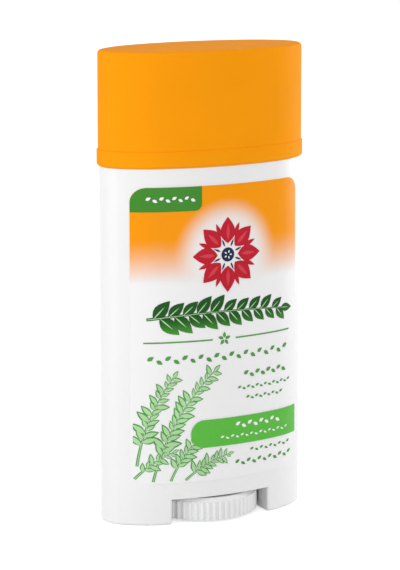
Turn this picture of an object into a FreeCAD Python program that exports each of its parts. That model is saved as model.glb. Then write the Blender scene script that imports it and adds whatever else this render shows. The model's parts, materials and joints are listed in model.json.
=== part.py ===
# An oval solid deodorant stick, full and closed, in millimetres.
# Z is up, X runs across the front, the front faces -Y, and the origin is on the table under the middle.
import FreeCAD, Part

import math
import os
import re

import Sketcher
from FreeCAD import Vector

document = FreeCAD.newDocument("DeodorantStick")

# Driving dimensions
sizes = {
    # Barrel
    "body_width": 61.5,
    "body_depth": 28.4,
    "body_height": 100.8,
    "front_fullness": 0.961,
    "side_fullness": 1.092,
    "end_fullness": 1.1895,
    "wall": 1.85,
    "neck_step": 0.85,
    "neck_height": 12.0,
    "bead_drop": 4.0,
    "bead_height": 1.0,
    "bead_swell": 0.15,
    "rim_round": 0.25,
    "notch_width": 30.3,
    "notch_height": 7.35,
    "notch_round": 0.6,
    "floor_thickness": 1.5,
    "foot_rib": 1.2,
    "foot_round": 0.8,
    "well_wall": 1.3,
    "well_gap": 0.6,
    "collar_radius": 5.2,
    "collar_height": 2.2,
    # Dial and its screw
    "dial_radius": 16.0,
    "dial_lift": 0.8,
    "dial_thickness": 5.1,
    "dial_rim": 1.8,
    "dial_web": 1.5,
    "lip_height": 0.95,
    "lip_slope": 1.0,
    "lip_width": 1.6,
    "rib_count": 56,
    "rib_radius": 0.6,
    "rib_height": 0.5,
    "spoke_count": 6,
    "spoke_width": 1.2,
    "hub_radius": 5.5,
    "thrust_gap": 0.2,
    "journal_radius": 3.4,
    "journal_gap": 0.2,
    "catch_radius": 4.1,
    "catch_height": 0.8,
    "catch_taper": 1.7,
    "core_radius": 2.4,
    "thread_radius": 3.4,
    "thread_pitch": 4.5,
    "thread_root": 1.9,
    "thread_crest": 0.9,
    "thread_start": 37.0,
    "thread_sink": 0.2,
    "screw_flats": 3.8,
    "screw_tip": 0.8,
    "travel": 56.0,
    "last_grip": 4.0,
    # Elevator
    "elevator_gap": 0.3,
    "plate_height": 53.0,
    "plate_thickness": 1.5,
    "skirt_height": 6.0,
    "skirt_wall": 1.0,
    "cup_height": 4.0,
    "cup_wall": 0.8,
    "nut_radius": 6.0,
    "nut_bottom": 44.0,
    "nut_stand": 1.5,
    "nut_gap": 0.2,
    "gusset_height": 4.5,
    "gusset_width": 1.2,
    "fin_offset": 14.0,
    "fin_width": 1.2,
    "fin_length": 12.0,
    "fin_height": 8.0,
    # Stick of product
    "product_gap": 0.2,
    "bore_gap": 0.35,
    "dome_gap": 0.3,
    # Factory seal over the mouth
    "seal_wall": 0.7,
    "seal_gap": 0.15,
    "seal_skirt": 2.0,
    "flange_thickness": 0.8,
    "flange_inset": 0.3,
    "dome_height": 10.4,
    "dome_radius": 88.0,
    "dome_round": 5.0,
    "lift_tab_width": 11.0,
    "lift_tab_height": 4.0,
    "lift_tab_round": 2.8,
    "lift_tab_thickness": 1.0,
    # Cap
    "cap_swell": 0.35,
    "cap_height": 32.2,
    "cap_wall": 1.4,
    "cap_roof": 1.6,
    "cap_round": 1.0,
    "cap_gap": 0.3,
    "shelf_gap": 0.8,
    "band_swell": 0.35,
    "band_height": 4.8,
    "band_edge": 0.25,
    "band_round": 0.9,
    # Front label and its print
    "film": 0.12,
    "ink": 0.06,
    "layer_gap": 0.03,
    "label_inset": 4.65,
    "label_bottom": 12.0,
    "label_drop": 5.1,
    "label_round": 4.0,
    "field_height": 27.2,
    "tab_width": 19.2,
    "tab_height": 6.8,
    "tab_round": 2.0,
    "stripe_start": 16.0,
    "stripe_rise": 9.6,
    "stripe_height": 7.9,
    "stripe_end": 0.49,
    "rule_drop": 43.7,
    "rule_thickness": 0.4,
    "rule_inset": 3.1,
    "rule_break": 6.0,
    "blossom_side": 1.0,
    "blossom_drop": 19.7,
    "petal_count": 8,
    "petal_start": 3.2,
    "petal_length": 7.4,
    "petal_width": 4.6,
    "blossom_eye": 2.4,
    "garland_inset": 4.5,
    "garland_drop": 36.3,
    "garland_reach": 40.0,
    "garland_count": 10,
    "garland_stem": 0.5,
    "leaf_length": 5.6,
    "leaf_width": 2.3,
    "leaf_lean": 38.0,
    "sprig_inset": 5.2,
    "sprig_rise": 1.4,
    "sprig_lean": 77.0,
    "sprig_reach": 26.0,
    "sprig_count": 7,
    "sprig_stem": 0.6,
    "sprig_leaf_length": 7.6,
    "sprig_leaf_width": 2.7,
    "sprig_leaf_lean": 42.0,
}

sheet = document.addObject("Spreadsheet::Sheet", "Sizes")
for row, (name, size) in enumerate(sizes.items(), 1):
    sheet.set(f"A{row}", name)
    sheet.set(f"B{row}", str(size))
    sheet.setAlias(f"B{row}", name)
document.recompute()

# Sizes that follow from the driving ones, as expressions. The oval's three radii are those that an
# ellipse of this width and depth has at its front and its ends, each made a little fuller or flatter
front_radius = "(front_fullness * body_width ^ 2 / (2 * body_depth))"
end_radius = "(end_fullness * body_depth ^ 2 / (2 * body_width))"
side_radius = f"(side_fullness * sqrt({front_radius} * {end_radius}))"
mouth_top = "(body_height + neck_height)"
floor_top = "(notch_height + floor_thickness)"
collar_top = f"({floor_top} + collar_height)"
well_radius = "(dial_radius + well_gap)"
flank = "(notch_width / 2 + well_wall)"
notch_front = f"(body_depth / 2 - {front_radius} + sqrt({front_radius} ^ 2 - (notch_width / 2) ^ 2))"
wheel_radius = "(dial_radius - rib_height)"
screw_top = "(nut_bottom + travel + last_grip)"
plate_top = "(plate_height + plate_thickness)"
nut_top = f"({plate_top} + nut_stand)"
seal_base = f"({mouth_top} + flange_thickness)"
seal_top = f"({seal_base} + dome_height)"
seal_grow = "(-wall - seal_gap)"
elevator_grow = "(-wall - elevator_gap)"
label_top = "(body_height - label_drop)"
label_right = "(body_width / 2 - label_inset)"
label_left = "(label_inset - body_width / 2)"
label_level = "layer_gap"
print_level = "(2 * layer_gap + film)"
overprint_level = "(3 * layer_gap + film + ink)"


def cells(text):
    return re.sub(r"[a-z]\w*", lambda word: f"Sizes.{word[0]}" if word[0] in sizes else word[0], text)


def value(text):
    return float(sheet.evalExpression(cells(text)))


def drive(thing, field, text):
    thing.setExpression(field, cells(text))


# Sketches on a body's own origin planes
def new_body(name):
    body = document.addObject("PartDesign::Body", name)
    body.Label = name
    body.AllowCompound = True
    return body


def new_sketch(body, name, role="XY_Plane", rise=None):
    sketch = body.newObject("Sketcher::SketchObject", f"{body.Name}_{name}")
    plane = next(item for item in body.Origin.OriginFeatures if item.Role == role)
    sketch.AttachmentSupport = [(plane, "")]
    sketch.MapMode = "FlatFace"
    if rise:
        drive(sketch, "AttachmentOffset.Base.z", rise)
    return sketch


def bind(sketch, number, text):
    drive(sketch, f"Constraints[{number}]", text)


def place_point(sketch, item, end, x, y):
    for kind, text in (("DistanceX", x), ("DistanceY", y)):
        number = sketch.addConstraint(Sketcher.Constraint(kind, -1, 1, item, end, value(text)))
        bind(sketch, number, text)


# The oval is eight tangent arcs of three radii. Growing all radii by one amount gives a parallel oval
def draw_oval(sketch, grow="0"):
    front, side, end = [value(radius) for radius in (front_radius, side_radius, end_radius)]
    front_y = value("body_depth / 2") - front
    end_x = value("body_width / 2") - end
    apart = math.hypot(end_x, front_y)
    # The side arc's centre lies front - side from one centre and side - end from the other
    along = ((front - side) ** 2 - (side - end) ** 2 + apart ** 2) / (2 * apart)
    off = math.sqrt((front - side) ** 2 - along ** 2)
    side_x = (end_x * along + front_y * off) / apart
    side_y = front_y + (-front_y * along + end_x * off) / apart
    first = math.atan2(-side_y, end_x - side_x)
    second = math.atan2(side_y - front_y, side_x)

    half = math.pi
    extra = value(grow)
    runs = (
        (end_x, 0, end, -first, first),
        (side_x, side_y, side, first, second),
        (0, front_y, front, second, half - second),
        (-side_x, side_y, side, half - second, half - first),
        (-end_x, 0, end, half - first, half + first),
        (-side_x, -side_y, side, half + first, half + second),
        (0, -front_y, front, half + second, 2 * half - second),
        (side_x, -side_y, side, 2 * half - second, 2 * half - first),
    )
    arcs = []
    for x, y, radius, start, stop in runs:
        circle = Part.Circle(Vector(x, y, 0), Vector(0, 0, 1), radius + extra)
        arcs.append(sketch.addGeometry(Part.ArcOfCircle(circle, start, stop), False))
    for arc, following in zip(arcs, arcs[1:] + arcs[:1]):
        sketch.addConstraint(Sketcher.Constraint("Tangent", arc, 2, following, 1))
    for arc, radius in zip(arcs, (end_radius, side_radius, front_radius, side_radius) * 2):
        grown = f"{radius} + {grow}"
        bind(sketch, sketch.addConstraint(Sketcher.Constraint("Radius", arc, value(grown))), grown)
    place_point(sketch, arcs[0], 3, f"body_width / 2 - {end_radius}", "0")
    place_point(sketch, arcs[2], 3, "0", f"body_depth / 2 - {front_radius}")
    place_point(sketch, arcs[4], 3, f"{end_radius} - body_width / 2", "0")
    place_point(sketch, arcs[6], 3, "0", f"{front_radius} - body_depth / 2")


def draw_circle(sketch, radius, x="0", y="0"):
    centre = Vector(value(x), value(y), 0)
    circle = sketch.addGeometry(Part.Circle(centre, Vector(0, 0, 1), value(radius)), False)
    place_point(sketch, circle, 3, x, y)
    bind(sketch, sketch.addConstraint(Sketcher.Constraint("Radius", circle, value(radius))), radius)


# A circle cut flat at the front and the back
def draw_flat_sided(sketch, radius, reach):
    high = value(reach)
    side = math.sqrt(value(radius) ** 2 - high ** 2)
    turn = math.atan2(high, side)
    circle = Part.Circle(Vector(0, 0, 0), Vector(0, 0, 1), value(radius))
    right = sketch.addGeometry(Part.ArcOfCircle(circle, -turn, turn), False)
    back = sketch.addGeometry(Part.LineSegment(Vector(side, high, 0), Vector(-side, high, 0)), False)
    left = sketch.addGeometry(Part.ArcOfCircle(circle, math.pi - turn, math.pi + turn), False)
    front = sketch.addGeometry(Part.LineSegment(Vector(-side, -high, 0), Vector(side, -high, 0)), False)
    for item, following in ((right, back), (back, left), (left, front), (front, right)):
        sketch.addConstraint(Sketcher.Constraint("Coincident", item, 2, following, 1))
    for arc in (right, left):
        place_point(sketch, arc, 3, "0", "0")
        bind(sketch, sketch.addConstraint(Sketcher.Constraint("Radius", arc, value(radius))), radius)
    for line, level in ((back, reach), (front, f"-{reach}")):
        for end in (1, 2):
            number = sketch.addConstraint(Sketcher.Constraint("DistanceY", -1, 1, line, end, value(level)))
            bind(sketch, number, level)


def draw_polygon(sketch, corners):
    points = [Vector(value(x), value(y), 0) for x, y in corners]
    lines = []
    for point, following in zip(points, points[1:] + points[:1]):
        lines.append(sketch.addGeometry(Part.LineSegment(point, following), False))
    for line, following in zip(lines, lines[1:] + lines[:1]):
        sketch.addConstraint(Sketcher.Constraint("Coincident", line, 2, following, 1))
    for line, (x, y) in zip(lines, corners):
        place_point(sketch, line, 1, x, y)


def draw_rectangle(sketch, left, right, low, high):
    draw_polygon(sketch, ((left, low), (right, low), (right, high), (left, high)))


# A leaf is two arcs from its foot to its tip
def draw_leaf(sketch, length, width, foot="0", turn="0"):
    reach = (f"{foot} + {length} * cos({turn} * 1deg)", f"{length} * sin({turn} * 1deg)")
    points = {}
    for side in (1, -1):
        swell = f"({side} * {width} / 2)"
        points[side] = (
            f"{foot} + {length} / 2 * cos({turn} * 1deg) - {swell} * sin({turn} * 1deg)",
            f"{length} / 2 * sin({turn} * 1deg) + {swell} * cos({turn} * 1deg)",
        )
    ends = [(foot, "0"), reach]
    start, tip = [Vector(value(x), value(y), 0) for x, y in ends]
    arcs = []
    for side, (x, y) in points.items():
        arc = Part.Arc(start, Vector(value(x), value(y), 0), tip)
        arcs.append(sketch.addGeometry(arc, False))
        crown = sketch.addGeometry(Part.Point(Vector(value(x), value(y), 0)), True)
        sketch.addConstraint(Sketcher.Constraint("PointOnObject", crown, 1, arcs[-1]))
        place_point(sketch, crown, 1, x, y)
    # The lower arc runs from tip to foot, because arcs turn one way
    for arc, (near, far) in zip(arcs, ((2, 1), (1, 2))):
        place_point(sketch, arc, near, foot, "0")
        place_point(sketch, arc, far, *reach)


# Features
def pad(body, sketch, name, length, back=False, both=False):
    feature = body.newObject("PartDesign::Pad", f"{body.Name}_{name}")
    feature.Profile = sketch
    feature.Reversed = back
    feature.Midplane = both
    drive(feature, "Length", length)
    sketch.Visibility = False
    return feature


def pocket(body, sketch, name, depth, up=False):
    feature = body.newObject("PartDesign::Pocket", f"{body.Name}_{name}")
    feature.Profile = sketch
    feature.Reversed = up
    drive(feature, "Length", depth)
    sketch.Visibility = False
    return feature


# Turns away everything above a sphere whose top is at the given height
def crown_with_sphere(body, radius, top):
    reach = "body_width"
    above = f"({top} + body_depth)"
    profile = new_sketch(body, "crown_profile", "XZ_Plane")
    lean = math.acos(value(reach) / value(radius))
    circle = Part.Circle(Vector(0, value(f"{top} - {radius}"), 0), Vector(0, 0, 1), value(radius))
    arc = profile.addGeometry(Part.ArcOfCircle(circle, lean, math.pi / 2), False)
    ends = [profile.getPoint(arc, 1), profile.getPoint(arc, 2)]
    corners = [ends[1], Vector(0, value(above), 0), Vector(value(reach), value(above), 0), ends[0]]
    lines = [profile.addGeometry(Part.LineSegment(*pair), False) for pair in zip(corners, corners[1:])]
    chain = [(arc, 2, lines[0], 1), (lines[0], 2, lines[1], 1), (lines[1], 2, lines[2], 1), (lines[2], 2, arc, 1)]
    for joint in chain:
        profile.addConstraint(Sketcher.Constraint("Coincident", *joint))
    profile.addConstraint(Sketcher.Constraint("Vertical", lines[0]))
    profile.addConstraint(Sketcher.Constraint("Vertical", lines[2]))
    bind(profile, profile.addConstraint(Sketcher.Constraint("Radius", arc, value(radius))), radius)
    place_point(profile, arc, 3, "0", f"{top} - {radius}")
    place_point(profile, lines[1], 1, "0", above)
    place_point(profile, lines[1], 2, reach, above)
    groove = body.newObject("PartDesign::Groove", f"{body.Name}_crown")
    groove.Profile = profile
    groove.ReferenceAxis = (profile, ["V_Axis"])
    groove.Angle = 360
    profile.Visibility = False
    return groove


def above_level(edge, height):
    return edge.BoundBox.ZMin > value(height) + 1e-4


def polar_pattern(body, feature, axis, count):
    pattern = body.newObject("PartDesign::PolarPattern", f"{feature.Name}_ring")
    pattern.Originals = [feature]
    pattern.Axis = axis
    pattern.Angle = 360
    drive(pattern, "Occurrences", count)
    body.Tip = pattern
    return pattern


def row_pattern(body, features, sketch, length, count):
    pattern = body.newObject("PartDesign::LinearPattern", f"{features[0].Name}_row")
    pattern.Originals = features
    pattern.Direction = (sketch, ["H_Axis"])
    drive(pattern, "Length", length)
    drive(pattern, "Occurrences", count)
    body.Tip = pattern
    return pattern


def dress_edges(body, kind, name, size, wanted):
    document.recompute()
    base = body.Tip
    edges = [f"Edge{number}" for number, edge in enumerate(base.Shape.Edges, 1) if wanted(edge)]
    feature = body.newObject(f"PartDesign::{kind}", f"{body.Name}_{name}")
    feature.Base = (base, edges)
    drive(feature, "Radius" if kind == "Fillet" else "Size", size)
    return feature


# Tests that pick edges by where they lie
def level_at(edge, height):
    box = edge.BoundBox
    return abs(box.ZMin - value(height)) < 1e-4 and abs(box.ZMax - value(height)) < 1e-4


def on_oval(edge, grow):
    radii = [value(f"{radius} + {grow}") for radius in (front_radius, side_radius, end_radius)]
    return hasattr(edge.Curve, "Radius") and any(abs(edge.Curve.Radius - radius) < 1e-4 for radius in radii)


def along_y(edge, x, z):
    box = edge.BoundBox
    return box.YLength > 1 and abs(box.Center.x - value(x)) < 1e-3 and abs(box.Center.z - value(z)) < 1e-3


def make_barrel():
    body = new_body("barrel")
    outside = new_sketch(body, "outside")
    draw_oval(outside)
    pad(body, outside, "shell", "body_height")
    neck = new_sketch(body, "neck_outline", rise="body_height")
    draw_oval(neck, "-neck_step")
    pad(body, neck, "neck", "neck_height")
    bead = new_sketch(body, "bead_outline", rise=f"{mouth_top} - bead_drop - bead_height")
    draw_oval(bead, "(bead_swell - neck_step)")
    pad(body, bead, "snap_bead", "bead_height")

    mouth = new_sketch(body, "mouth_outline", rise=mouth_top)
    draw_oval(mouth, "-wall")
    pocket(body, mouth, "inside", f"{mouth_top} - {floor_top}")
    foot = new_sketch(body, "foot_outline")
    draw_oval(foot, "-wall")
    pocket(body, foot, "underside", "notch_height", up=True)

    # Round wall of the dial's well, flanks of the notch, and a rib down the middle of each foot
    along = f"(body_depth / 2 - {front_radius} + sqrt(({front_radius} - wall / 2) ^ 2 - {flank} ^ 2))"
    well_wall = new_sketch(body, "well_wall_outline")
    draw_flat_sided(well_wall, f"({well_radius} + well_wall)", along)
    pad(body, well_wall, "well_wall", "notch_height")
    flanks = new_sketch(body, "flank_outline")
    draw_rectangle(flanks, f"-{flank}", flank, f"-{along}", along)
    pad(body, flanks, "flanks", "notch_height")
    rib = new_sketch(body, "rib_outline")
    draw_rectangle(rib, "-(body_width - wall) / 2", "(body_width - wall) / 2", "-foot_rib / 2", "foot_rib / 2")
    pad(body, rib, "foot_ribs", "notch_height")

    notch = new_sketch(body, "notch_outline")
    draw_rectangle(notch, "-notch_width / 2", "notch_width / 2", "-body_depth", "body_depth")
    pocket(body, notch, "notch", "notch_height", up=True)
    well = new_sketch(body, "well_outline")
    draw_circle(well, well_radius)
    pocket(body, well, "well", "notch_height", up=True)

    collar = new_sketch(body, "collar_outline", rise=floor_top)
    draw_circle(collar, "collar_radius")
    pad(body, collar, "collar", "collar_height")
    bearing = new_sketch(body, "bearing_outline", rise=collar_top)
    draw_circle(bearing, "journal_radius + journal_gap")
    pocket(body, bearing, "bearing", f"{collar_top} - notch_height")

    dress_edges(body, "Fillet", "notch_rounding", "notch_round", notch_corner)
    dress_edges(body, "Fillet", "foot_rounding", "foot_round", lambda edge: (
        level_at(edge, "0") and on_oval(edge, "0")))
    dress_edges(body, "Fillet", "rim_rounding", "rim_round", lambda edge: (
        level_at(edge, mouth_top) and on_oval(edge, "-neck_step")))
    return body


def notch_corner(edge):
    # the upright edges where the notch cuts the barrel's outside
    box = edge.BoundBox
    upright = box.ZLength > value("notch_height") / 2 and box.XLength < 1e-4 and box.YLength < 1e-4
    at_notch = abs(abs(box.Center.x) - value("notch_width") / 2) < 1e-4
    return upright and at_notch and abs(abs(box.Center.y) - value(notch_front)) < value("wall / 8")


def make_dial_screw():
    body = new_body("dial_screw")
    # One turned profile runs from the hub through the bearing and its catch to the screw's tip
    profile = new_sketch(body, "spindle_profile", "XZ_Plane")
    hub_top = "(notch_height - thrust_gap)"
    catch_low = f"({collar_top} + thrust_gap)"
    catch_top = f"({catch_low} + catch_height)"
    draw_polygon(profile, (
        ("0", "dial_lift"),
        ("hub_radius", "dial_lift"),
        ("hub_radius", hub_top),
        ("journal_radius", hub_top),
        ("journal_radius", catch_low),
        ("catch_radius", catch_low),
        ("catch_radius", catch_top),
        ("core_radius", f"{catch_top} + catch_taper"),
        ("core_radius", f"{screw_top} - screw_tip"),
        ("core_radius - screw_tip", screw_top),
        ("0", screw_top),
    ))
    spindle = body.newObject("PartDesign::Revolution", "dial_screw_spindle")
    spindle.Profile = profile
    spindle.ReferenceAxis = (profile, ["V_Axis"])
    spindle.Angle = 360
    profile.Visibility = False

    wheel = new_sketch(body, "wheel_outline", rise="dial_lift")
    draw_circle(wheel, wheel_radius)
    pad(body, wheel, "wheel", "dial_thickness")
    recess = new_sketch(body, "recess_outline", rise="dial_lift")
    draw_circle(recess, f"{wheel_radius} - dial_rim")
    draw_circle(recess, "hub_radius")
    pocket(body, recess, "recess", "dial_thickness - dial_web", up=True)
    spoke = new_sketch(body, "spoke_outline", rise="dial_lift")
    overlap = "dial_rim / 2"
    draw_rectangle(spoke, f"hub_radius - {overlap}", f"{wheel_radius} - {overlap}",
                   "-spoke_width / 2", "spoke_width / 2")
    spoke_pad = pad(body, spoke, "spoke", "dial_thickness - dial_web / 2")
    polar_pattern(body, spoke_pad, (spoke, ["N_Axis"]), "spoke_count")
    rib = new_sketch(body, "rib_outline", rise="dial_lift")
    draw_circle(rib, "rib_radius", "dial_radius - rib_radius")
    rib_pad = pad(body, rib, "rib", "dial_thickness")
    polar_pattern(body, rib_pad, (rib, ["N_Axis"]), "rib_count")

    # The lip slopes in from the ribs and runs just under the barrel's floor
    wheel_top = "(dial_lift + dial_thickness)"
    lip_top = f"({wheel_top} + lip_height)"
    lip_outside = f"({wheel_radius} - lip_slope)"
    lip = new_sketch(body, "lip_profile", "XZ_Plane")
    draw_polygon(lip, (
        (f"{lip_outside} - lip_width", wheel_top),
        (wheel_radius, wheel_top),
        (lip_outside, lip_top),
        (f"{lip_outside} - lip_width", lip_top),
    ))
    ring = body.newObject("PartDesign::Revolution", "dial_screw_lip")
    ring.Profile = lip
    ring.ReferenceAxis = (lip, ["V_Axis"])
    ring.Angle = 360
    lip.Visibility = False

    # The thread is left-handed, so turning the dial anticlockwise seen from above lifts the elevator
    thread_foot = "(thread_start - thread_root / 2)"
    root = "(core_radius - thread_sink)"
    slope = "((thread_root - thread_crest) / 2)"
    ridge = new_sketch(body, "thread_profile", "XZ_Plane")
    draw_polygon(ridge, (
        (root, thread_foot),
        ("core_radius", thread_foot),
        ("thread_radius", f"{thread_foot} + {slope}"),
        ("thread_radius", f"{thread_foot} + thread_root - {slope}"),
        ("core_radius", f"{thread_foot} + thread_root"),
        (root, f"{thread_foot} + thread_root"),
    ))
    thread = body.newObject("PartDesign::AdditiveHelix", "dial_screw_thread")
    thread.Profile = ridge
    thread.ReferenceAxis = (ridge, ["V_Axis"])
    thread.Mode = "pitch-turns-angle"
    thread.LeftHanded = True
    drive(thread, "Pitch", "thread_pitch")
    drive(thread, "Turns", f"({screw_top} - screw_tip - {thread_foot} - thread_root) / thread_pitch")
    ridge.Visibility = False

    # Two flats down the screw, where its mould parts
    beyond = "(thread_radius * 2)"
    flats = new_sketch(body, "flats_outline", rise=screw_top)
    draw_rectangle(flats, f"-{beyond}", beyond, "screw_flats / 2", beyond)
    draw_rectangle(flats, f"-{beyond}", beyond, f"-{beyond}", "-screw_flats / 2")
    pocket(body, flats, "flats", f"{screw_top} - thread_start + thread_pitch")
    return body


def make_elevator():
    body = new_body("elevator")
    lower = new_sketch(body, "outline", rise="plate_height - skirt_height")
    draw_oval(lower, elevator_grow)
    pad(body, lower, "outside", "skirt_height + plate_thickness + cup_height")
    skirt = new_sketch(body, "skirt_outline", rise="plate_height - skirt_height")
    draw_oval(skirt, f"({elevator_grow} - skirt_wall)")
    pocket(body, skirt, "under_plate", "skirt_height", up=True)
    cup = new_sketch(body, "cup_outline", rise=f"{plate_top} + cup_height")
    draw_oval(cup, f"({elevator_grow} - cup_wall)")
    pocket(body, cup, "cup", "cup_height")

    nut = new_sketch(body, "nut_outline", rise="nut_bottom")
    draw_circle(nut, "nut_radius")
    pad(body, nut, "nut", f"{nut_top} - nut_bottom")
    to_skirt = f"({elevator_grow} - skirt_wall / 2)"
    gussets = (
        ("long_gusset", f"(body_width / 2 + {to_skirt})", "(gusset_width / 2)"),
        ("short_gusset", "(gusset_width / 2)", f"(body_depth / 2 + {to_skirt})"),
    )
    for name, x, y in gussets:
        outline = new_sketch(body, f"{name}_outline", rise="plate_height")
        draw_rectangle(outline, f"-{x}", x, f"-{y}", y)
        pad(body, outline, name, "gusset_height", back=True)
    fins = new_sketch(body, "fin_outline", rise=plate_top)
    for side in ("-1", "1"):
        middle = f"{side} * fin_offset"
        draw_rectangle(fins, f"{middle} - fin_width / 2", f"{middle} + fin_width / 2",
                       "-fin_length / 2", "fin_length / 2")
    pad(body, fins, "fins", "fin_height")

    bore = new_sketch(body, "bore_outline", rise=nut_top)
    draw_circle(bore, "core_radius + nut_gap")
    pocket(body, bore, "bore", f"{nut_top} - nut_bottom")
    # The groove starts whole turns above the screw's thread, so that the two run in phase
    first_turn = "(thread_start + thread_pitch * floor((nut_bottom - thread_start - thread_root) / thread_pitch))"
    slope = "((thread_root - thread_crest) / 2 / (thread_radius - core_radius))"
    inner = "(core_radius - nut_gap)"
    outer = "(thread_radius + nut_gap)"
    inner_half = f"(thread_root / 2 + nut_gap + {slope} * nut_gap)"
    outer_half = f"(thread_crest / 2 + nut_gap - {slope} * nut_gap)"
    groove = new_sketch(body, "groove_profile", "XZ_Plane")
    draw_polygon(groove, (
        (inner, f"{first_turn} - {inner_half}"),
        (outer, f"{first_turn} - {outer_half}"),
        (outer, f"{first_turn} + {outer_half}"),
        (inner, f"{first_turn} + {inner_half}"),
    ))
    thread = body.newObject("PartDesign::SubtractiveHelix", "elevator_thread")
    thread.Profile = groove
    thread.ReferenceAxis = (groove, ["V_Axis"])
    thread.Mode = "pitch-turns-angle"
    thread.LeftHanded = True
    drive(thread, "Pitch", "thread_pitch")
    drive(thread, "Turns", f"({nut_top} - {first_turn} + thread_root) / thread_pitch")
    groove.Visibility = False
    return body


def make_product_stick():
    body = new_body("product_stick")
    foot_top = f"({plate_top} + cup_height)"
    shoulder = f"({mouth_top} - seal_skirt - dome_gap)"
    foot = new_sketch(body, "foot_outline", rise=plate_top)
    draw_oval(foot, f"({elevator_grow} - cup_wall)")
    pad(body, foot, "foot", "cup_height")
    bulk = new_sketch(body, "outline", rise=foot_top)
    draw_oval(bulk, "(-wall - product_gap)")
    pad(body, bulk, "bulk", f"{shoulder} - {foot_top}")
    inset = "(seal_wall + dome_gap)"
    step = new_sketch(body, "step_outline", rise=shoulder)
    draw_oval(step, f"({seal_grow} - {inset})")
    pad(body, step, "step", f"{seal_top} - {shoulder}")
    crown_with_sphere(body, f"(dome_radius - {inset})", f"({seal_top} - {inset})")
    dress_edges(body, "Fillet", "dome_rounding", f"dome_round - {inset}", lambda edge: (
        above_level(edge, f"{seal_base}")))

    # Room for the nut, the screw and the elevator's fins
    nut = new_sketch(body, "nut_outline", rise=plate_top)
    draw_circle(nut, "nut_radius")
    pocket(body, nut, "nut_room", "nut_stand", up=True)
    bore = new_sketch(body, "bore_outline", rise=plate_top)
    draw_circle(bore, "thread_radius + bore_gap")
    pocket(body, bore, "screw_room", f"{screw_top} + bore_gap - {plate_top}", up=True)
    fins = new_sketch(body, "fin_outline", rise=plate_top)
    for side in ("-1", "1"):
        middle = f"{side} * fin_offset"
        draw_rectangle(fins, f"{middle} - fin_width / 2", f"{middle} + fin_width / 2",
                       "-fin_length / 2", "fin_length / 2")
    pocket(body, fins, "fin_room", "fin_height", up=True)
    return body


def make_dome_seal():
    body = new_body("dome_seal")
    dome = new_sketch(body, "dome_outline", rise=f"{mouth_top} - seal_skirt")
    draw_oval(dome, seal_grow)
    pad(body, dome, "dome", f"{seal_top} - {mouth_top} + seal_skirt")
    crown_with_sphere(body, "dome_radius", seal_top)
    dress_edges(body, "Fillet", "dome_rounding", "dome_round", lambda edge: above_level(edge, seal_base))
    document.recompute()
    base = body.Tip
    low = value(f"{mouth_top} - seal_skirt")
    open_faces = [f"Face{number}" for number, face in enumerate(base.Shape.Faces, 1)
                  if face.BoundBox.ZMax < low + 1e-4]
    shell = body.newObject("PartDesign::Thickness", "dome_seal_shell")
    shell.Base = (base, open_faces)
    shell.Reversed = True
    drive(shell, "Value", "seal_wall")

    # The flange rests on the barrel's rim
    flange = new_sketch(body, "flange_outline", rise=mouth_top)
    draw_oval(flange, "(-neck_step - flange_inset)")
    draw_oval(flange, f"({seal_grow} - seal_wall / 2)")
    pad(body, flange, "flange", "flange_thickness")
    tab = new_sketch(body, "tab_outline", "XZ_Plane")
    tab_top = f"({seal_top} + lift_tab_height)"
    draw_rectangle(tab, "-lift_tab_width / 2", "lift_tab_width / 2", f"{seal_top} - seal_wall * 0.8", tab_top)
    pad(body, tab, "tab", "lift_tab_thickness", both=True)
    dress_edges(body, "Fillet", "tab_rounding", "lift_tab_round", lambda edge: any(
        along_tab(edge, side, tab_top) for side in (-1, 1)))
    return body


def along_tab(edge, side, height):
    centre = edge.BoundBox.Center
    right_x = abs(centre.x - side * value("lift_tab_width") / 2) < 1e-4
    return right_x and abs(centre.z - value(height)) < 1e-4 and abs(centre.y) < 1e-4


def make_cap():
    body = new_body("cap")
    band_top = "(body_height + band_height)"
    cap_top = "(body_height + cap_height)"
    shelf = f"({seal_base} + shelf_gap)"
    band_grow = "(cap_swell + band_swell)"
    band = new_sketch(body, "band_outline", rise="body_height")
    draw_oval(band, band_grow)
    pad(body, band, "band", "band_height")
    crown = new_sketch(body, "crown_outline", rise=band_top)
    draw_oval(crown, "cap_swell")
    pad(body, crown, "crown", "cap_height - band_height")
    upper = new_sketch(body, "upper_room_outline", rise="body_height")
    draw_oval(upper, "(cap_swell - cap_wall)")
    pocket(body, upper, "upper_room", "cap_height - cap_roof", up=True)
    lower = new_sketch(body, "lower_room_outline", rise="body_height")
    draw_oval(lower, "(cap_gap - neck_step)")
    pocket(body, lower, "lower_room", f"{shelf} - body_height", up=True)
    dress_edges(body, "Fillet", "top_rounding", "cap_round", lambda edge: (
        level_at(edge, cap_top) and on_oval(edge, "cap_swell")))
    dress_edges(body, "Fillet", "band_rounding", "band_round", lambda edge: (
        level_at(edge, "body_height") and on_oval(edge, band_grow)))
    dress_edges(body, "Chamfer", "band_bevel", "band_edge", lambda edge: (
        level_at(edge, band_top) and on_oval(edge, band_grow)))
    return body


# Thin pieces that lie on the barrel's front: a flat outline is padded towards -Y and kept only
# where it runs between two ovals
def wrap(body, level, thickness):
    total = "(body_height + cap_height)"
    below = new_sketch(body, "lower_face")
    draw_oval(below, level)
    pocket(body, below, "lower_trim", total, up=True)
    above = new_sketch(body, "upper_face")
    draw_oval(above, f"({level} + {thickness})")
    draw_rectangle(above, "-body_width", "body_width", "-2 * body_depth", "2 * body_depth")
    pocket(body, above, "upper_trim", total, up=True)


def flat_piece(name, left, right, low, high, rounded=()):
    body = new_body(name)
    outline = new_sketch(body, "outline", "XZ_Plane")
    draw_rectangle(outline, left, right, low, high)
    pad(body, outline, "blank", "body_depth")
    for number, (x, z, radius) in enumerate(rounded):
        dress_edges(body, "Fillet", f"corner{number}", radius, lambda edge: along_y(edge, x, z))
    return body


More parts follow.
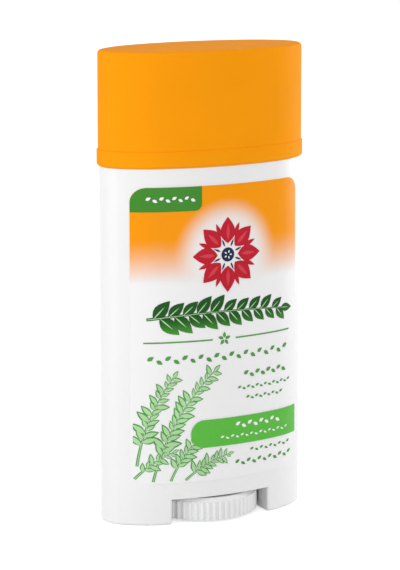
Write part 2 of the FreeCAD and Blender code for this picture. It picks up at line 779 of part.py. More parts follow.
def make_label():
    corners = [(x, z, "label_round") for x in (label_left, label_right) for z in ("label_bottom", label_top)]
    body = flat_piece("label", label_left, label_right, "label_bottom", label_top, corners)
    wrap(body, label_level, "film")
    return body


def make_print_orange_field():
    corners = [(x, label_top, "label_round") for x in (label_left, label_right)]
    low = f"({label_top} - field_height)"
    body = flat_piece("print_orange_field", label_left, label_right, low, label_top, corners)
    wrap(body, print_level, "ink")
    return body


def make_print_green_tab():
    right = f"({label_left} + tab_width)"
    low = f"({label_top} - tab_height)"
    corners = [(label_left, label_top, "label_round"), (right, low, "tab_round")]
    body = flat_piece("print_green_tab", label_left, right, low, label_top, corners)
    wrap(body, overprint_level, "ink")
    return body


def make_print_green_stripe():
    left = f"({label_left} + stripe_start)"
    low = "(label_bottom + stripe_rise)"
    high = f"({low} + stripe_height)"
    corners = [(left, z, "stripe_height * stripe_end") for z in (low, high)]
    body = flat_piece("print_green_stripe", left, label_right, low, high, corners)
    wrap(body, print_level, "ink")
    return body


def make_print_fine_rules():
    body = new_body("print_fine_rules")
    outline = new_sketch(body, "outline", "XZ_Plane")
    reach = f"({label_right} - rule_inset)"
    low = f"({label_top} - rule_drop)"
    for left, right in ((f"-{reach}", "-rule_break / 2"), ("rule_break / 2", reach)):
        draw_rectangle(outline, left, right, low, f"{low} + rule_thickness")
    pad(body, outline, "blank", "body_depth")
    wrap(body, print_level, "ink")
    return body


# A motif's sketch has its own origin on the front, at x and z, and may lean
def motif_sketch(body, name, x, z, lean="0"):
    sketch = new_sketch(body, name, "XZ_Plane")
    drive(sketch, "AttachmentOffset.Base.x", x)
    drive(sketch, "AttachmentOffset.Base.y", z)
    drive(sketch, "AttachmentOffset.Rotation.Angle", lean)
    return sketch


def make_print_blossom():
    body = new_body("print_blossom")
    centre = ("blossom_side", f"({label_top} - blossom_drop)")
    petal = motif_sketch(body, "petal_outline", *centre)
    draw_leaf(petal, "petal_length", "petal_width", foot="petal_start")
    petal_pad = pad(body, petal, "petal", "body_depth")
    polar_pattern(body, petal_pad, (petal, ["N_Axis"]), "petal_count")
    eye = motif_sketch(body, "eye_outline", *centre)
    draw_circle(eye, "blossom_eye")
    pad(body, eye, "eye", "body_depth")
    wrap(body, overprint_level, "ink")
    return body


def leafy_branch(name, x, z, lean, reach, count, stem, length, width, leaf_lean):
    body = new_body(name)
    step = f"({reach} / {count})"
    stalk = motif_sketch(body, "stem_outline", x, z, lean)
    draw_rectangle(stalk, "0", reach, f"-{stem} / 2", f"{stem} / 2")
    pad(body, stalk, "stem", "body_depth")
    leaves = []
    for side, label in ((1, "upper"), (-1, "lower")):
        outline = motif_sketch(body, f"{label}_leaf_outline", x, z, lean)
        foot = f"({step} / 2)" if side == 1 else f"({step} * 0.75)"
        draw_leaf(outline, length, width, foot=foot, turn=f"({side} * {leaf_lean})")
        leaves.append(pad(body, outline, f"{label}_leaf", "body_depth"))
    row_pattern(body, leaves, stalk, f"({reach} - {step})", count)
    wrap(body, print_level, "ink")
    return body


def make_print_garland():
    start = (f"({label_left} + garland_inset)", f"({label_top} - garland_drop)")
    return leafy_branch("print_garland", *start, "0", "garland_reach", "garland_count", "garland_stem",
                        "leaf_length", "leaf_width", "leaf_lean")


def make_print_sprig():
    start = (f"({label_left} + sprig_inset)", "(label_bottom + sprig_rise)")
    return leafy_branch("print_sprig", *start, "sprig_lean", "sprig_reach", "sprig_count", "sprig_stem",
                        "sprig_leaf_length", "sprig_leaf_width", "sprig_leaf_lean")


makers = (
    make_barrel,
    make_dial_screw,
    make_elevator,
    make_product_stick,
    make_dome_seal,
    make_cap,
    make_label,
    make_print_orange_field,
    make_print_green_tab,
    make_print_green_stripe,
    make_print_fine_rules,
    make_print_garland,
    make_print_blossom,
    make_print_sprig,
)
bodies = [make() for make in makers]
document.recompute()

for thing in document.Objects:
    if {"Invalid", "Error"} & set(thing.State):
        raise SystemExit(f"{thing.Label} failed: {thing.State}")
for body in bodies:
    if body.Shape.isNull() or not body.Shape.isValid():
        raise SystemExit(f"{body.Label} has no valid shape")

os.makedirs("parts", exist_ok=True)
for body in bodies:
    body.Shape.exportStep(f"parts/{body.Label}.step")
    print(f"{body.Label}: {len(body.Shape.Solids)} solid, {body.Shape.Volume / 1000:.2f} cm3")
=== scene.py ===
import json
import math

import bmesh
import bpy
import numpy as np
from mathutils import Matrix, Vector

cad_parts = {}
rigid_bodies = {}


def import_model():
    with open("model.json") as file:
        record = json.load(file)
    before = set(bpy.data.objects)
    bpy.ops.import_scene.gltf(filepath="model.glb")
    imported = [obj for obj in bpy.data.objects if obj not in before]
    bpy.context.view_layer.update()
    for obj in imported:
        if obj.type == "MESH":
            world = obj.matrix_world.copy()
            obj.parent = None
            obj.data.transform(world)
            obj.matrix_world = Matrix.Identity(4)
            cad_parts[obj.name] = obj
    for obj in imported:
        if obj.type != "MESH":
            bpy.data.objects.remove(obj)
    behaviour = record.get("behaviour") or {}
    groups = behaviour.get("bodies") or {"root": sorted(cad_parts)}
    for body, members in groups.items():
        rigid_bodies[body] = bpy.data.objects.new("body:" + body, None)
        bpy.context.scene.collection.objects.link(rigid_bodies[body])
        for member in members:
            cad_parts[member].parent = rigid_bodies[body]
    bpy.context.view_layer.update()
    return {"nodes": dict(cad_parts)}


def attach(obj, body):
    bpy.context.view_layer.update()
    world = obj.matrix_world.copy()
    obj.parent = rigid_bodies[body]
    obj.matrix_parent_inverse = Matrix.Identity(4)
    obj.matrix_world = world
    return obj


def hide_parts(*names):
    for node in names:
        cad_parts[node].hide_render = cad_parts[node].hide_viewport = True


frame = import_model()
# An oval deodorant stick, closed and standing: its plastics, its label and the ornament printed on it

mm = 0.001
nodes = frame["nodes"]


# The oval that every wall follows, in millimetres: eight arcs, from the same sizes as the solids
oval = {"width": 61.5, "depth": 28.4, "frontFullness": 0.961, "sideFullness": 1.092, "endFullness": 1.1895}


def ovalArcs():
    width, depth = oval["width"], oval["depth"]
    front = oval["frontFullness"] * width ** 2 / (2 * depth)
    end = oval["endFullness"] * depth ** 2 / (2 * width)
    side = oval["sideFullness"] * math.sqrt(front * end)
    frontCentre, endCentre = Vector((0, depth / 2 - front)), Vector((width / 2 - end, 0))
    line = endCentre - frontCentre
    span = line.length
    near, far = front - side, side - end  # how far the side arc's centre is from the other two
    along = (near ** 2 - far ** 2 + span ** 2) / (2 * span)
    across = math.sqrt(max(near ** 2 - along ** 2, 0))
    unit = line / span
    sideCentre = frontCentre + unit * along + Vector((-unit.y, unit.x)) * across
    toFront, toEnd = sideCentre - frontCentre, endCentre - sideCentre
    return {"front": front, "side": side, "end": end, "frontCentre": frontCentre, "endCentre": endCentre,
            "sideCentre": sideCentre, "frontJoin": math.atan2(toFront.y, toFront.x),
            "endJoin": math.atan2(toEnd.y, toEnd.x)}


arcs = ovalArcs()


def frontReach(x, grow):
    # how far the front stands off the middle plane at x, on the oval grown by grow
    x = abs(x)
    if x <= (arcs["front"] + grow) * math.cos(arcs["frontJoin"]):
        centre, radius = arcs["frontCentre"], arcs["front"] + grow
    elif x <= arcs["sideCentre"].x + (arcs["side"] + grow) * math.cos(arcs["endJoin"]):
        centre, radius = arcs["sideCentre"], arcs["side"] + grow
    else:
        centre, radius = arcs["endCentre"], arcs["end"] + grow
    return centre.y + math.sqrt(max(radius ** 2 - (x - centre.x) ** 2, 0))


# Materials. A look's plain numbers go on the shader's own sockets, and what varies gets nodes
looks = {
    "capPlastic": {"colour": (0.94, 0.325, 0.003), "gloss": 0.04, "shift": 0.02, "rough": (0.52, 0.62), "grain": 0.012,
                   "grainScale": 5200, "subsurface": 0.0},
    "barrelPlastic": {"colour": (0.83, 0.83, 0.835), "shift": 0.012, "rough": (0.28, 0.38), "grain": 0.01,
                      "grainScale": 4800, "subsurface": 0.1},
    "dialPlastic": {"colour": (0.82, 0.82, 0.825), "shift": 0.012, "rough": (0.33, 0.44), "grain": 0.014,
                    "grainScale": 5200, "subsurface": 0.1},
    "innerPlastic": {"colour": (0.80, 0.80, 0.79), "shift": 0.02, "rough": (0.36, 0.48), "grain": 0.02,
                     "grainScale": 4200, "subsurface": 0.15},
    "sealPlastic": {"colour": (0.80, 0.82, 0.83), "shift": 0.02, "rough": (0.22, 0.34), "grain": 0.02,
                    "grainScale": 3800, "subsurface": 0.1},
    "stickWax": {"colour": (0.84, 0.83, 0.79), "shift": 0.03, "rough": (0.42, 0.58), "grain": 0.06,
                 "grainScale": 2400, "subsurface": 0.4},
    "labelFilm": {"colour": (0.85, 0.85, 0.852), "shift": 0.008, "rough": (0.2, 0.27), "grain": 0.006,
                  "grainScale": 3000, "subsurface": 0.0},
    "orangeInk": {"colour": (0.93, 0.315, 0.003), "gloss": 0.08, "shift": 0.02, "rough": (0.2, 0.28), "grain": 0.006,
                  "grainScale": 3000, "subsurface": 0.0},
    "deepGreenInk": {"gloss": 0.12, "colour": (0.052, 0.245, 0.026), "shift": 0.03, "rough": (0.2, 0.28), "grain": 0.006,
                     "grainScale": 3000, "subsurface": 0.0},
    "leafGreenInk": {"gloss": 0.12, "colour": (0.107, 0.49, 0.055), "shift": 0.03, "rough": (0.2, 0.28), "grain": 0.006,
                     "grainScale": 3000, "subsurface": 0.0},
    "darkGreenInk": {"gloss": 0.12, "colour": (0.012, 0.085, 0.012), "shift": 0.05, "rough": (0.2, 0.28), "grain": 0.006,
                     "grainScale": 3000, "subsurface": 0.0},
    "paleGreenInk": {"gloss": 0.12, "colour": (0.41, 0.69, 0.35), "shift": 0.1, "rough": (0.2, 0.28), "grain": 0.006,
                     "grainScale": 3000, "subsurface": 0.0},
    "midGreenInk": {"gloss": 0.12, "colour": (0.085, 0.30, 0.065), "shift": 0.14, "rough": (0.2, 0.28), "grain": 0.006,
                    "grainScale": 3000, "subsurface": 0.0},
    "crimsonInk": {"gloss": 0.12, "colour": (0.51, 0.011, 0.028), "shift": 0.03, "rough": (0.2, 0.28), "grain": 0.006,
                   "grainScale": 3000, "subsurface": 0.0},
    "roseInk": {"gloss": 0.12, "colour": (0.66, 0.05, 0.075), "shift": 0.03, "rough": (0.2, 0.28), "grain": 0.006,
                "grainScale": 3000, "subsurface": 0.0},
    "garlandInk": {"gloss": 0.12, "colour": (0.012, 0.085, 0.012), "shift": 0.05, "rough": (0.2, 0.28),
                   "grain": 0.006, "grainScale": 3000, "subsurface": 0.0},
    "navyInk": {"gloss": 0.12, "colour": (0.013, 0.022, 0.075), "shift": 0.03, "rough": (0.2, 0.28), "grain": 0.006,
                "grainScale": 3000, "subsurface": 0.0},
    "whiteInk": {"colour": (0.87, 0.87, 0.87), "shift": 0.01, "rough": (0.2, 0.28), "grain": 0.006,
                 "grainScale": 3000, "subsurface": 0.0},
}


def joined(tree, source, target):
    tree.links.new(source, target)


def shaderMath(tree, operation, *values):
    node = tree.nodes.new("ShaderNodeMath")
    node.operation = operation
    for socket, value in zip(node.inputs, values):
        if isinstance(value, (int, float)):
            socket.default_value = value
        else:
            joined(tree, value, socket)
    return node.outputs[0]


def ranged(tree, value, low, high, newLow, newHigh, smooth=False):
    node = tree.nodes.new("ShaderNodeMapRange")
    node.interpolation_type = "SMOOTHSTEP" if smooth else "LINEAR"
    joined(tree, value, node.inputs["Value"])
    for name, number in (("From Min", low), ("From Max", high), ("To Min", newLow), ("To Max", newHigh)):
        node.inputs[name].default_value = number
    return node.outputs["Result"]


def noise(tree, place, scale, detail=2.0):
    node = tree.nodes.new("ShaderNodeTexNoise")
    node.inputs["Scale"].default_value = scale
    node.inputs["Detail"].default_value = detail
    joined(tree, place, node.inputs["Vector"])
    return node.outputs["Fac"]


def mixed(tree, share, first, second):
    node = tree.nodes.new("ShaderNodeMix")
    node.data_type = "RGBA"
    joined(tree, share, node.inputs[0])
    for socket, value in ((node.inputs[6], first), (node.inputs[7], second)):
        if isinstance(value, tuple):
            socket.default_value = (*value[:3], 1)
        else:
            joined(tree, value, socket)
    return node.outputs[2]


def tinted(colour, factor):
    return tuple(min(channel * factor, 1) for channel in colour)


def makeMaterial(name):
    look = looks[name]
    material = bpy.data.materials.new(name)
    material.use_nodes = True
    tree = material.node_tree
    shader = tree.nodes["Principled BSDF"]
    place = tree.nodes.new("ShaderNodeTexCoord").outputs["Object"]
    cloud = noise(tree, place, 60, 3)
    colour = mixed(tree, ranged(tree, cloud, 0.3, 0.7, 0, 1), tinted(look["colour"], 1 - look["shift"]),
                   tinted(look["colour"], 1 + look["shift"]))
    joined(tree, colour, shader.inputs["Base Color"])
    polish = noise(tree, place, 240, 4)
    joined(tree, ranged(tree, polish, 0.3, 0.7, *look["rough"]), shader.inputs["Roughness"])
    bump = tree.nodes.new("ShaderNodeBump")
    bump.inputs["Strength"].default_value = look["grain"] * 10
    bump.inputs["Distance"].default_value = 0.00002
    joined(tree, noise(tree, place, look["grainScale"], 3), bump.inputs["Height"])
    joined(tree, bump.outputs["Normal"], shader.inputs["Normal"])
    shader.inputs["IOR"].default_value = 1.48
    shader.inputs["Specular IOR Level"].default_value = look.get("gloss", 0.4)
    if look["subsurface"]:
        shader.inputs["Subsurface Weight"].default_value = look["subsurface"]
        shader.inputs["Subsurface Radius"].default_value = (1.0, 0.85, 0.7)
        shader.inputs["Subsurface Scale"].default_value = 0.0012
    return material, tree, shader, place, colour


materials = {}
fade = {"bare": 68.9, "full": 81.4, "ragged": 0.45, "round": 1.7, "haloX": 1.0, "haloZ": 76.0, "haloIn": 9.0, "haloOut": 16.5}
for name in looks:
    material, tree, shader, place, colour = makeMaterial(name)
    materials[name] = material
    if name == "orangeInk":  # the field fades down to bare film, and round the blossom
        axes = tree.nodes.new("ShaderNodeSeparateXYZ")
        joined(tree, place, axes.inputs[0])
        stretch = tree.nodes.new("ShaderNodeMapping")
        stretch.inputs["Scale"].default_value = (1.0, 1.0, 0.3)
        joined(tree, place, stretch.inputs["Vector"])
        ragged = ranged(tree, noise(tree, stretch.outputs[0], 130, 2), 0.25, 0.75, -fade["ragged"] * mm, fade["ragged"] * mm)
        height = shaderMath(tree, "ADD", axes.outputs["Z"], ragged)
        field = ranged(tree, height, fade["bare"] * mm, fade["full"] * mm, 1, 0)
        field = shaderMath(tree, "SUBTRACT", 1.0, shaderMath(tree, "POWER", field, fade["round"]))
        aside = shaderMath(tree, "SUBTRACT", axes.outputs["X"], fade["haloX"] * mm)
        above = shaderMath(tree, "SUBTRACT", axes.outputs["Z"], fade["haloZ"] * mm)
        away = shaderMath(tree, "SQRT", shaderMath(
            tree, "ADD", shaderMath(tree, "MULTIPLY", aside, aside), shaderMath(tree, "MULTIPLY", above, above)))
        halo = ranged(tree, shaderMath(tree, "ADD", away, shaderMath(tree, "MULTIPLY", ragged, 0.25)),
                      fade["haloIn"] * mm, fade["haloOut"] * mm, 0.06, 1, True)
        share = shaderMath(tree, "MULTIPLY", field, halo)
        joined(tree, mixed(tree, share, looks["labelFilm"]["colour"], colour), shader.inputs["Base Color"])
    if name == "garlandInk":  # the garland's green lightens towards its foot
        axes = tree.nodes.new("ShaderNodeSeparateXYZ")
        joined(tree, place, axes.inputs[0])
        joined(tree, mixed(tree, ranged(tree, axes.outputs["Z"], 0.0535, 0.0590, 0.45, 1, True),
                           looks["leafGreenInk"]["colour"], colour), shader.inputs["Base Color"])
print("materials made:", len(materials))


# Geometry Nodes trees draw the ornament flat, in millimetres, in the XZ plane
class Drawing:
    def __init__(self, name, sizes):
        self.tree = bpy.data.node_groups.new(name, "GeometryNodeTree")
        self.tree.interface.new_socket("Geometry", in_out="INPUT", socket_type="NodeSocketGeometry")
        self.tree.interface.new_socket("Geometry", in_out="OUTPUT", socket_type="NodeSocketGeometry")
        self.ids = {}
        for label, value in sizes.items():
            kind = {int: "NodeSocketInt", float: "NodeSocketFloat"}.get(type(value), "NodeSocketMaterial")
            socket = self.tree.interface.new_socket(label, in_out="INPUT", socket_type=kind)
            if kind != "NodeSocketMaterial":
                socket.default_value = value
            self.ids[label] = socket.identifier
        self.start = self.tree.nodes.new("NodeGroupInput")
        self.finish = self.tree.nodes.new("NodeGroupOutput")

    def size(self, label):
        return self.start.outputs[label]

    def add(self, kind, **values):
        node = self.tree.nodes.new(kind)
        for key, value in values.items():
            if hasattr(node, key):
                setattr(node, key, value)
                continue
            socket = node.inputs[key.replace("_", " ")]
            if isinstance(value, bpy.types.NodeSocket):
                self.tree.links.new(value, socket)
            else:
                socket.default_value = value
        return node

    def calc(self, operation, *values):
        return shaderMath(self.tree, operation, *values)

    def vector(self, x, y, z):
        node = self.tree.nodes.new("ShaderNodeCombineXYZ")
        for socket, value in zip(node.inputs, (x, y, z)):
            if isinstance(value, (int, float)):
                socket.default_value = value
            else:
                self.tree.links.new(value, socket)
        return node.outputs[0]

    def parts(self, vector):
        node = self.tree.nodes.new("ShaderNodeSeparateXYZ")
        self.tree.links.new(vector, node.inputs[0])
        return node.outputs

    def placed(self, geometry, x, z):
        return self.add("GeometryNodeSetPosition", Geometry=geometry, Position=self.vector(x, 0.0, z)).outputs[0]

    def leaf(self, length, width, corners=18):
        # a disc's rim drawn out to an almond with its stalk end at the origin
        disc = self.add("GeometryNodeMeshCircle", fill_type="NGON", Vertices=corners, Radius=1.0)
        place = self.parts(self.add("GeometryNodeInputPosition").outputs[0])
        x = self.calc("MULTIPLY", self.calc("ADD", place[0], 1.0), self.calc("MULTIPLY", length, 0.5))
        bulge = self.calc("MULTIPLY", place[1], self.calc("ABSOLUTE", place[1]))
        fuller = self.calc("MULTIPLY", bulge, self.calc("SUBTRACT", 1.0, self.calc("MULTIPLY", place[0], 0.3)))
        return self.placed(disc.outputs[0], x, self.calc("MULTIPLY", fuller, self.calc("MULTIPLY", width, 0.5)))

    def close(self, geometry):
        flat = self.add("GeometryNodeRealizeInstances", Geometry=geometry).outputs[0]
        inked = self.add("GeometryNodeSetMaterial", Geometry=flat, Material=self.size("Ink")).outputs[0]
        self.tree.links.new(inked, self.finish.inputs[0])
        return self


def stemDrawing():
    d = Drawing("leafyStem", {"Pairs": 8, "Reach": 30.0, "Bend": 3.0, "Stem": 0.5, "Leaf Length": 5.0,
                              "Leaf Width": 2.0, "Lean": 0.7, "Bare": 0.12, "Taper": 0.4, "Jitter": 0.15,
                              "Seed": 1, "Ink": None})
    reach, bend = d.size("Reach"), d.size("Bend")

    def curveAt(t):
        # a bowed line: x runs evenly and z rises and falls by the bend
        x = d.calc("MULTIPLY", t, reach)
        z = d.calc("MULTIPLY", d.calc("MULTIPLY", bend, 4.0), d.calc("MULTIPLY", t, d.calc("SUBTRACT", 1.0, t)))
        slope = d.calc("MULTIPLY", d.calc("MULTIPLY", bend, 4.0),
                       d.calc("SUBTRACT", 1.0, d.calc("MULTIPLY", t, 2.0)))
        return x, z, d.calc("ARCTAN2", slope, reach)

    # the stem is a strip that thins towards its tip
    grid = d.add("GeometryNodeMeshGrid", Size_X=1.0, Size_Y=1.0, Vertices_X=40, Vertices_Y=2)
    place = d.parts(d.add("GeometryNodeInputPosition").outputs[0])
    t = d.calc("ADD", place[0], 0.5)
    x, z, angle = curveAt(t)
    half = d.calc("MULTIPLY", d.calc("MULTIPLY", place[1], d.size("Stem")),
                  d.calc("SUBTRACT", 1.0, d.calc("MULTIPLY", t, 0.6)))
    stem = d.placed(grid.outputs[0], d.calc("SUBTRACT", x, d.calc("MULTIPLY", half, d.calc("SINE", angle))),
                    d.calc("ADD", z, d.calc("MULTIPLY", half, d.calc("COSINE", angle))))
    shape = d.leaf(d.size("Leaf Length"), d.size("Leaf Width"))
    index = d.add("GeometryNodeInputIndex").outputs[0]
    share = d.calc("DIVIDE", index, d.size("Pairs"))
    along = d.calc("ADD", d.size("Bare"), d.calc("MULTIPLY", share, d.calc("SUBTRACT", 1.0, d.size("Bare"))))
    both = [stem]
    for sign, shift in ((1.0, 0.0), (-1.0, 0.45)):
        wander = d.add("FunctionNodeRandomValue", data_type="FLOAT")
        for name, value in (("Min", -1.0), ("Max", 1.0)):
            [s for s in wander.inputs if s.name == name and s.type == "VALUE"][0].default_value = value
        joined(d.tree, d.calc("ADD", d.size("Seed"), 10.0 * sign + 20), wander.inputs["Seed"])
        stray = [s for s in wander.outputs if s.type == "VALUE"][0]
        spot = d.calc("ADD", along, d.calc("DIVIDE", shift, d.calc("MULTIPLY", d.size("Pairs"), 1.15)))
        lx, lz, langle = curveAt(spot)
        points = d.add("GeometryNodePoints", Count=d.size("Pairs"), Position=d.vector(lx, 0.0, lz))
        lean = d.calc("MULTIPLY", d.calc("ADD", d.size("Lean"), d.calc("MULTIPLY", stray, d.size("Jitter"))), sign)
        turn = d.vector(0.0, d.calc("MULTIPLY", d.calc("ADD", langle, lean), -1.0), 0.0)
        grow = d.calc("MULTIPLY", d.calc("SUBTRACT", 1.0, d.calc("MULTIPLY", share, d.size("Taper"))),
                      d.calc("ADD", 1.0, d.calc("MULTIPLY", stray, d.size("Jitter"))))
        both.append(d.add("GeometryNodeInstanceOnPoints", Points=points.outputs[0], Instance=shape, Rotation=turn,
                          Scale=d.vector(grow, grow, grow)).outputs[0])
    ex, ez, eangle = curveAt(0.985)
    tip = d.add("GeometryNodePoints", Count=1, Position=d.vector(ex, 0.0, ez))
    small = d.calc("SUBTRACT", 1.0, d.size("Taper"))
    both.append(d.add("GeometryNodeInstanceOnPoints", Points=tip.outputs[0], Instance=shape,
                      Rotation=d.vector(0.0, d.calc("MULTIPLY", eangle, -1.0), 0.0),
                      Scale=d.vector(small, small, small)).outputs[0])
    together = d.add("GeometryNodeJoinGeometry")
    for part in both:
        d.tree.links.new(part, together.inputs[0])
    return d.close(together.outputs[0])


def rosetteDrawing():
    d = Drawing("rosette", {"Petals": 8, "Start": 3.2, "Length": 7.4, "Width": 4.6, "Turn": 0.0, "Ink": None})
    index = d.add("GeometryNodeInputIndex").outputs[0]
    angle = d.calc("ADD", d.calc("MULTIPLY", index, d.calc("DIVIDE", math.tau, d.size("Petals"))), d.size("Turn"))
    where = d.vector(d.calc("MULTIPLY", d.calc("COSINE", angle), d.size("Start")), 0.0,
                     d.calc("MULTIPLY", d.calc("SINE", angle), d.size("Start")))
    points = d.add("GeometryNodePoints", Count=d.size("Petals"), Position=where)
    petals = d.add("GeometryNodeInstanceOnPoints", Points=points.outputs[0],
                   Instance=d.leaf(d.size("Length"), d.size("Width"), 24),
                   Rotation=d.vector(0.0, d.calc("MULTIPLY", angle, -1.0), 0.0))
    return d.close(petals.outputs[0])


def seedRowDrawing():
    d = Drawing("seedRow", {"Count": 12, "Step": 1.6, "Length": 1.1, "Width": 0.7, "Tilt": 0.0, "Jitter": 0.1,
                            "Seed": 3, "Ink": None})
    index = d.add("GeometryNodeInputIndex").outputs[0]
    points = d.add("GeometryNodePoints", Count=d.size("Count"),
                   Position=d.vector(d.calc("MULTIPLY", index, d.size("Step")), 0.0, 0.0))
    stray = d.add("FunctionNodeRandomValue", data_type="FLOAT")
    joined(d.tree, d.size("Seed"), stray.inputs["Seed"])
    vary = d.calc("ADD", 1.0, d.calc("MULTIPLY", [s for s in stray.outputs if s.type == "VALUE"][0], d.size("Jitter")))
    other = d.calc("SUBTRACT", d.calc("MULTIPLY", d.calc("MODULO", index, 2.0), 2.0), 1.0)
    turn = d.calc("MULTIPLY", d.size("Tilt"), other)
    row = d.add("GeometryNodeInstanceOnPoints", Points=points.outputs[0],
                Instance=d.leaf(d.size("Length"), d.size("Width"), 12),
                Rotation=d.vector(0.0, turn, 0.0), Scale=d.vector(vary, vary, vary))
    return d.close(row.outputs[0])


drawings = {"stem": stemDrawing(), "rosette": rosetteDrawing(), "seeds": seedRowDrawing()}


def drawn(kind, ink, sizes, place, lean=0.0):
    # one drawing, evaluated to a plain flat mesh and laid at (x, z), leaning by degrees
    drawing = drawings[kind]
    carrier = bpy.data.objects.new("drawn", bpy.data.meshes.new("drawn"))
    bpy.context.scene.collection.objects.link(carrier)
    modifier = carrier.modifiers.new("drawn", "NODES")
    modifier.node_group = drawing.tree
    modifier[drawing.ids["Ink"]] = materials[ink]
    for label, value in sizes.items():
        modifier[drawing.ids[label]] = value
    bpy.context.view_layer.update()
    evaluated = carrier.evaluated_get(bpy.context.evaluated_depsgraph_get())
    flat = bpy.data.meshes.new_from_object(evaluated)
    bpy.data.objects.remove(carrier)
    flat.transform(Matrix.Translation((place[0], 0, place[1])) @ Matrix.Rotation(-math.radians(lean), 4, "Y"))
    return flat


def outlineMesh(points):
    # one flat face from (x, z) points
    mesh = bpy.data.meshes.new("outline")
    mesh.from_pydata([(x, 0, z) for x, z in points], [], [list(range(len(points)))])
    return mesh


def roundedBox(left, right, low, high, corners):
    # corners: radii at low left, low right, high right, high left
    points = []
    spots = ((left, low, 1, 1, 180), (right, low, -1, 1, 270), (right, high, -1, -1, 0), (left, high, 1, -1, 90))
    for (x, z, sx, sz, first), radius in zip(spots, corners):
        steps = 10 if radius else 1
        for step in range(steps + (1 if radius else 0)):
            angle = math.radians(first + 90 * step / steps)
            points.append((x + sx * radius + radius * math.cos(angle), z + sz * radius + radius * math.sin(angle))
                          if radius else (x, z))
    return points


def wrappedPrint(name, flats, ink, level, thickness, clip=None, cell=0.8, feather=None, rungs=None):
    # flat drawings cut into upright strips, laid on the oval and given their thickness
    soup = bmesh.new()
    for flat in flats:
        soup.from_mesh(flat)
        bpy.data.meshes.remove(flat)
    if clip:
        for axis, limit, keepLow in clip:
            normal = Vector((0, 0, 0))
            normal[axis] = 1 if keepLow else -1
            point = Vector((0, 0, 0))
            point[axis] = limit
            everything = soup.verts[:] + soup.edges[:] + soup.faces[:]
            bmesh.ops.bisect_plane(soup, geom=everything, plane_co=point, plane_no=normal, clear_outer=True)
    xs = [vertex.co.x for vertex in soup.verts]
    for step in range(math.ceil(min(xs) / cell), math.floor(max(xs) / cell) + 1):
        bmesh.ops.bisect_plane(soup, geom=soup.verts[:] + soup.edges[:] + soup.faces[:], dist=1e-5,
                               plane_co=(step * cell, 0, 0), plane_no=(1, 0, 0))
    if rungs:
        for step in range(round((rungs[1] - rungs[0]) / rungs[2])):
            bmesh.ops.bisect_plane(soup, geom=soup.verts[:] + soup.edges[:] + soup.faces[:], dist=1e-5,
                                   plane_co=(0, 0, rungs[0] + (step + 1) * rungs[2]), plane_no=(0, 0, 1))
    bmesh.ops.dissolve_degenerate(soup, dist=1e-4, edges=soup.edges[:])
    bmesh.ops.triangulate(soup, faces=soup.faces[:])
    for face in soup.faces:  # all look towards the front
        face.normal_update()
        if face.normal.y > 0:
            face.normal_flip()
    soup.verts.index_update()
    corners = [vertex.co.copy() for vertex in soup.verts]
    faces = [[vertex.index for vertex in face.verts] for face in soup.faces]
    rims = [(edge, edge.link_faces[0]) for edge in soup.edges if len(edge.link_faces) == 1]
    count = len(corners)
    points = []
    filmTop = label["film"] + label["filmThickness"]
    for height, least in ((level + thickness, 0.003), (level, 0.001)):
        for co in corners:  # a feathered piece thins out to the film at its lower edge
            share = min((co.z - feather[0]) / feather[1] + 0.001, 1) if feather else 1
            grow = filmTop + least + (height - filmTop - least) * share
            points.append((co.x * mm, -frontReach(co.x, grow) * mm, co.z * mm))
    closed = faces + [[index + count for index in reversed(face)] for face in faces]
    for edge, face in rims:
        order = [vertex.index for vertex in face.verts]
        a, b = edge.verts[0].index, edge.verts[1].index
        if order[(order.index(a) + 1) % len(order)] != b:
            a, b = b, a
        closed.append([b, a, a + count, b + count])
    soup.free()
    mesh = bpy.data.meshes.new(name)
    mesh.from_pydata(points, [], closed)
    mesh.materials.append(materials[ink])
    mesh.update()
    piece = bpy.data.objects.new(name, mesh)
    bpy.context.scene.collection.objects.link(piece)
    mesh.set_sharp_from_angle(angle=math.radians(35))
    for polygon in mesh.polygons:
        polygon.use_smooth = True
    return piece


# The label: its film, the fields of colour and the ornament, each a thin layer at its own level
label = {"left": -26.1, "right": 26.1, "low": 12.0, "high": 95.7, "round": 4.0, "film": 0.03, "filmThickness": 0.12,
         "fieldHeight": 27.2, "tabRight": -6.9, "tabLow": 88.9, "tabRound": 2.0,
         "stripeLeft": -10.1, "stripeLow": 21.6, "stripeHigh": 29.5}
layers = {"ink": (0.18, 0.06), "detail": (0.25, 0.04), "over": (0.27, 0.06), "stripe": (0.31, 0.05),
          "top": (0.38, 0.04)}
bodyPieces = []


def printed(name, flats, ink, slot, layer="ink", stands=(), **how):
    piece = wrappedPrint(name, flats, ink, *layers[layer], **how)
    bodyPieces.append((piece, slot, stands))


film = roundedBox(label["left"], label["right"], label["low"], label["high"], (label["round"],) * 4)
bodyPieces.append((wrappedPrint("label_film", [outlineMesh(film)], "labelFilm", label["film"],
                                label["filmThickness"], cell=0.4), "label_film", ("label",)))
fieldLow = label["high"] - label["fieldHeight"]
field = roundedBox(label["left"], label["right"], fieldLow, label["high"], (0, 0, 4.0, 4.0))
printed("label_orange_field", [outlineMesh(field)], "orangeInk", "orange_ink", stands=("print_orange_field",), cell=0.4,
        feather=(fieldLow, 5.0), rungs=(fieldLow, fieldLow + 5.0, 1.0))
tab = roundedBox(label["left"], label["tabRight"], label["tabLow"], label["high"], (0, label["tabRound"], 0, 4.0))
printed("label_green_tab", [outlineMesh(tab)], "deepGreenInk", "deep_green_ink", "over", ("print_green_tab",))
stripe = roundedBox(label["stripeLeft"], label["right"], label["stripeLow"], label["stripeHigh"], (3.87, 0, 0, 3.87))
printed("label_green_stripe", [outlineMesh(stripe)], "leafGreenInk", "leaf_green_ink", "stripe",
        ("print_green_stripe",), cell=0.4)

